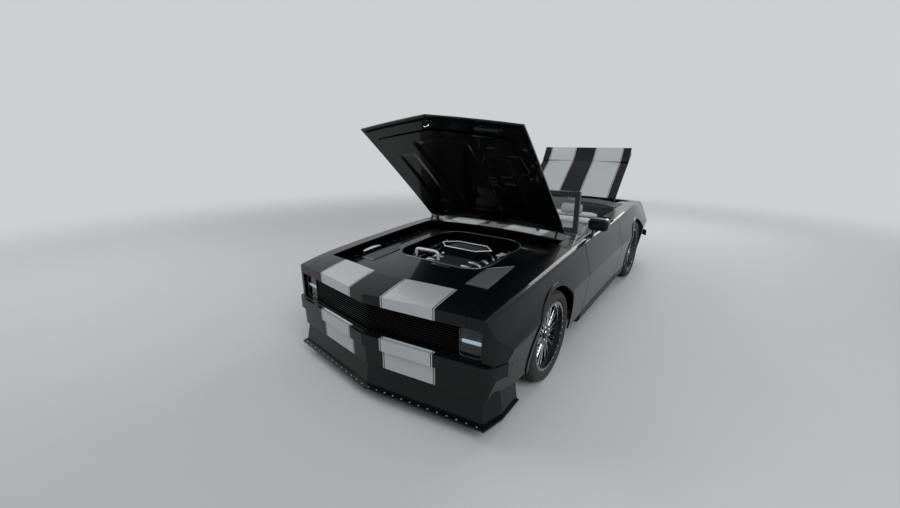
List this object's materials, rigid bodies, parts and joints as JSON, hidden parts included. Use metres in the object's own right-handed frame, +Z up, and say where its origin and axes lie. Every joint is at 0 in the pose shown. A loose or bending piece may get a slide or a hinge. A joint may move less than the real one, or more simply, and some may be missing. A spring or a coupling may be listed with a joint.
{
  "type": "two-door convertible muscle car",
  "caption": "Low open two-door muscle car with long hood, wide silver stripes, raised hood and trunk lid, opening doors and steered front wheels.",
  "frame": {"origin": "on the floor below the middle of the car's box", "axes": "+X forward, +Y to the car's left, +Z up"},
  "size_m": [4.764, 1.958, 1.8261],
  "materials": {
    "body_paint": "gloss clear coat",
    "bay_gloss": "gloss",
    "mesh_black": "satin",
    "lamp_housing": "gloss",
    "red_lens": "gloss",
    "window_glass": "clear",
    "chassis_black": "satin",
    "engine_alloy": "cast",
    "axle_iron": "painted",
    "exhaust_steel": "brushed",
    "dash_black": "grained",
    "seat_leather": "pleated",
    "boot_fabric": "canvas",
    "wheel_black": "gloss",
    "tyre_rubber": "matte"
  },
  "bodies": {
    "chassis": {"bay_cover": "bay_gloss", "bay_vents": "mesh_black", "console": "dash_black", "cowl": "body_paint", "dashboard": "dash_black", "deck_panel": "body_paint", "engine": "engine_alloy", "exhaust": "exhaust_steel", "floor_pan": "chassis_black", "front_bumper": "body_paint", "front_fenders": "body_paint", "front_seats": "seat_leather", "front_splitter": "body_paint", "front_valance": "body_paint", "fuel_tank": "engine_alloy", "grille": "mesh_black", "header_panel": "body_paint", "headlamps": "lamp_housing", "inner_fenders": "chassis_black", "quarters": "body_paint", "radiator": "chassis_black", "rear_axle": "axle_iron", "rear_bumper": "body_paint", "rear_seat": "seat_leather", "seat_mounts": "chassis_black", "subframe": "chassis_black", "suspension": "chassis_black", "tail_lamps": "red_lens", "tail_panel": "body_paint", "top_boot": "boot_fabric", "trunk_tub": "chassis_black", "wheelhouses": "chassis_black", "windshield": "window_glass", "windshield_frame": "body_paint"},
    "hood": {"hood": "body_paint"},
    "trunk_lid": {"trunk_lid": "body_paint"},
    "door_left": {"door_left": "body_paint"},
    "door_right": {"door_right": "body_paint"},
    "knuckle_left": {"knuckle_left": "chassis_black"},
    "knuckle_right": {"knuckle_right": "chassis_black"},
    "front_wheel_left": {"front_wheel_left": "wheel_black", "front_tyre_left": "tyre_rubber"},
    "front_wheel_right": {"front_wheel_right": "wheel_black", "front_tyre_right": "tyre_rubber"},
    "rear_wheel_left": {"rear_wheel_left": "wheel_black", "rear_tyre_left": "tyre_rubber"},
    "rear_wheel_right": {"rear_wheel_right": "wheel_black", "rear_tyre_right": "tyre_rubber"},
    "steering_wheel": {"steering_wheel": "dash_black"}
  },
  "joints": [
    {"name": "hood_hinge", "type": "hinge", "parent": "chassis", "child": "hood", "pos_m": [0.7, 0, 0.84479], "axis": [0, 1, 0], "range_deg": [0, 46]},
    {"name": "lid_hinge", "type": "hinge", "parent": "chassis", "child": "trunk_lid", "pos_m": [-1.35, 0, 0.866], "axis": [0, 1, 0], "range_deg": [-46, 0]},
    {"name": "door_hinge_left", "type": "hinge", "parent": "chassis", "child": "door_left", "pos_m": [0.694, 0.925, 0.55], "axis": [0, 0, 1], "range_deg": [-62, 0]},
    {"name": "door_hinge_right", "type": "hinge", "parent": "chassis", "child": "door_right", "pos_m": [0.694, -0.925, 0.55], "axis": [0, 0, 1], "range_deg": [0, 62]},
    {"name": "steer_left", "type": "hinge", "parent": "chassis", "child": "knuckle_left", "pos_m": [1.425, 0.66, 0.334], "axis": [0, 0, 1], "range_deg": [-32, 32]},
    {"name": "steer_right", "type": "hinge", "parent": "chassis", "child": "knuckle_right", "pos_m": [1.425, -0.66, 0.334], "axis": [0, 0, 1], "range_deg": [-32, 32]},
    {"name": "steering_column", "type": "hinge", "parent": "chassis", "child": "steering_wheel", "pos_m": [0.292, 0.375, 0.742], "axis": [-0.9135, 0, 0.4067], "range_deg": [-448, 448]},
    {"name": "spin_front_left", "type": "hinge", "parent": "knuckle_left", "child": "front_wheel_left", "pos_m": [1.425, 0.772, 0.334], "axis": [0, 1, 0], "continuous": true},
    {"name": "spin_front_right", "type": "hinge", "parent": "knuckle_right", "child": "front_wheel_right", "pos_m": [1.425, -0.772, 0.334], "axis": [0, 1, 0], "continuous": true},
    {"name": "spin_rear_left", "type": "hinge", "parent": "chassis", "child": "rear_wheel_left", "pos_m": [-1.318, 0.748, 0.355], "axis": [0, 1, 0], "continuous": true},
    {"name": "spin_rear_right", "type": "hinge", "parent": "chassis", "child": "rear_wheel_right", "pos_m": [-1.318, -0.748, 0.355], "axis": [0, 1, 0], "continuous": true}
  ],
  "couplings": [
    {"joint": "steer_right", "follows": "steer_left", "ratio": 1},
    {"joint": "steering_column", "follows": "steer_left", "ratio": 14}
  ]
}
